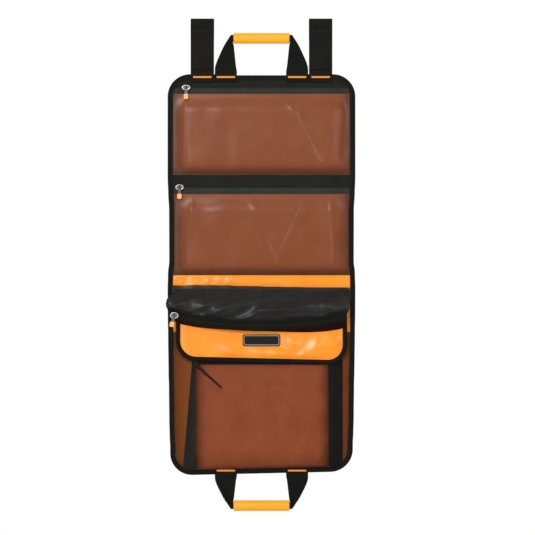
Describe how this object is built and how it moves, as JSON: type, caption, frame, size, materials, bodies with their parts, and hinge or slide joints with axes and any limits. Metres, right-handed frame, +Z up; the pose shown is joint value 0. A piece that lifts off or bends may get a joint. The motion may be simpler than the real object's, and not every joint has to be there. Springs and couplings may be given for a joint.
{
  "type": "hanging kitchen caddy",
  "caption": "Fold-in-half hanging kitchen caddy with zipped mesh pockets, a flap with a pouch, a deep pocket and a grip handle at each end.",
  "frame": {"origin": "midway between the two strap loops, on the line where a rail carries them", "axes": "+Z up along the hanging caddy, +X to the viewer's right, and its front faces -Y"},
  "size_m": [0.4, 0.0481, 1.058],
  "materials": {
    "orange_tarpaulin": "smooth PVC-coated fabric, half gloss",
    "pocket_mesh": "fine see-through polyester mesh",
    "pouch_mesh": "close black polyester mesh",
    "edge_binding": "woven tape, matt",
    "webbing": "ribbed polypropylene webbing, matt",
    "zip_band": "ribbed woven band, matt",
    "zip_tape": "woven zip tape, matt",
    "zip_coil": "nylon coil",
    "slider_metal": "satin nickel",
    "puller_rubber": "soft moulded rubber",
    "grip_vinyl": "smooth soft vinyl",
    "bar_tack_thread": "dense zigzag stitching",
    "patch_rubber": "matt moulded rubber"
  },
  "bodies": {
    "hanging_straps": {"strap_left_back": "webbing", "strap_right_back": "webbing", "strap_left_loop_strip": "webbing", "strap_right_loop_strip": "webbing"},
    "strap_left_leaf": {"strap_left_front": "webbing"},
    "strap_right_leaf": {"strap_right_front": "webbing"},
    "upper_panel": {"upper_panel": "orange_tarpaulin", "upper_binding": "edge_binding", "strap_tab_left": "webbing", "strap_tab_right": "webbing", "strap_tack_left": "bar_tack_thread", "strap_tack_right": "bar_tack_thread", "top_handle_tab_left": "webbing", "top_handle_tab_right": "webbing", "top_handle_tack_left": "bar_tack_thread", "top_handle_tack_right": "bar_tack_thread", "utensil_pocket_zip_band": "zip_band", "utensil_pocket_zip_tape": "zip_tape", "utensil_pocket_zip_coil": "zip_coil", "utensil_pocket_mesh": "pocket_mesh", "spice_pocket_zip_band": "zip_band", "spice_pocket_zip_tape": "zip_tape", "spice_pocket_zip_coil": "zip_coil", "spice_pocket_mesh": "pocket_mesh"},
    "top_handle": {"top_handle_webbing": "webbing", "top_handle_grip": "grip_vinyl"},
    "utensil_pocket_slider": {"utensil_pocket_slider": "slider_metal"},
    "utensil_pocket_puller": {"utensil_pocket_puller": "slider_metal", "utensil_pocket_puller_tip": "puller_rubber"},
    "spice_pocket_slider": {"spice_pocket_slider": "slider_metal"},
    "spice_pocket_puller": {"spice_pocket_puller": "slider_metal", "spice_pocket_puller_tip": "puller_rubber"},
    "spine": {"spine_panel": "orange_tarpaulin", "spine_binding_left": "edge_binding", "spine_binding_right": "edge_binding"},
    "flap": {"flap_panel": "orange_tarpaulin", "flap_binding": "edge_binding", "pouch_mesh": "pouch_mesh", "pouch_zip_upper_tape": "zip_band", "pouch_zip_coil": "zip_coil", "pouch_zip_lower_tape": "zip_band", "pouch_base": "zip_band", "patch": "patch_rubber"},
    "pouch_slider": {"pouch_slider": "slider_metal"},
    "pouch_puller": {"pouch_puller": "slider_metal", "pouch_puller_tip": "puller_rubber"},
    "lower_panel": {"flap_seam_roll": "orange_tarpaulin", "lower_panel": "orange_tarpaulin", "lower_binding": "edge_binding", "lower_mesh_lining": "pocket_mesh", "deep_pocket_mesh": "pocket_mesh", "deep_pocket_gusset_left": "zip_band", "deep_pocket_gusset_right": "zip_band", "deep_pocket_hem": "edge_binding", "bottom_handle_tab_left": "webbing", "bottom_handle_tab_right": "webbing", "bottom_handle_tack_left": "bar_tack_thread", "bottom_handle_tack_right": "bar_tack_thread"},
    "bottom_handle": {"bottom_handle_webbing": "webbing", "bottom_handle_grip": "grip_vinyl"}
  },
  "joints": [
    {"name": "panel_swing", "type": "hinge", "parent": "hanging_straps", "child": "upper_panel", "pos_m": [0, -0.0036, -0.1168], "axis": [1, 0, 0], "range_deg": [-80, 80]},
    {"name": "strap_left_peel", "type": "hinge", "parent": "hanging_straps", "child": "strap_left_leaf", "pos_m": [-0.127, -0.0108, -0.009], "axis": [-1, 0, 0], "range_deg": [0, 150]},
    {"name": "strap_right_peel", "type": "hinge", "parent": "hanging_straps", "child": "strap_right_leaf", "pos_m": [0.127, -0.0108, -0.009], "axis": [-1, 0, 0], "range_deg": [0, 150]},
    {"name": "top_handle_lean", "type": "hinge", "parent": "upper_panel", "child": "top_handle", "pos_m": [0, -0.0036, -0.1168], "axis": [1, 0, 0], "range_deg": [-90, 90], "stiffness_Nm_per_rad": 0.15},
    {"name": "utensil_zip", "type": "slide", "parent": "upper_panel", "child": "utensil_pocket_slider", "axis": [1, 0, 0], "range_m": [0, 0.324]},
    {"name": "utensil_puller_lift", "type": "hinge", "parent": "utensil_pocket_slider", "child": "utensil_pocket_puller", "pos_m": [-0.162, -0.0073, -0.147], "axis": [1, 0, 0], "range_deg": [-85, 0]},
    {"name": "spice_zip", "type": "slide", "parent": "upper_panel", "child": "spice_pocket_slider", "axis": [1, 0, 0], "range_m": [0, 0.352]},
    {"name": "spice_puller_lift", "type": "hinge", "parent": "spice_pocket_slider", "child": "spice_pocket_puller", "pos_m": [-0.176, -0.0073, -0.361], "axis": [1, 0, 0], "range_deg": [-85, 0]},
    {"name": "spine_fold", "type": "hinge", "parent": "upper_panel", "child": "spine", "pos_m": [0, -0.0024, -0.5505], "axis": [-1, 0, 0], "range_deg": [0, 90]},
    {"name": "lower_fold", "type": "hinge", "parent": "spine", "child": "lower_panel", "pos_m": [0, -0.0024, -0.579], "axis": [-1, 0, 0], "range_deg": [0, 82]},
    {"name": "flap_lift", "type": "hinge", "parent": "lower_panel", "child": "flap", "pos_m": [0, -0.0025, -0.579], "axis": [1, 0, 0], "range_deg": [-125, 0]},
    {"name": "pouch_zip", "type": "hinge", "parent": "flap", "child": "pouch_slider", "pos_m": [-0.008, 0.03084, 0.07059], "axis": [0, -0.9964, 0.0844], "range_deg": [0, 28.18]},
    {"name": "pouch_puller_lift", "type": "hinge", "parent": "pouch_slider", "child": "pouch_puller", "pos_m": [-0.186, -0.03349, -0.63559], "axis": [0.9699, -0.0205, -0.2426], "range_deg": [-85, 0]},
    {"name": "bottom_handle_lean", "type": "hinge", "parent": "lower_panel", "child": "bottom_handle", "pos_m": [0, -0.0036, -0.9772], "axis": [1, 0, 0], "range_deg": [-90, 90]}
  ]
}
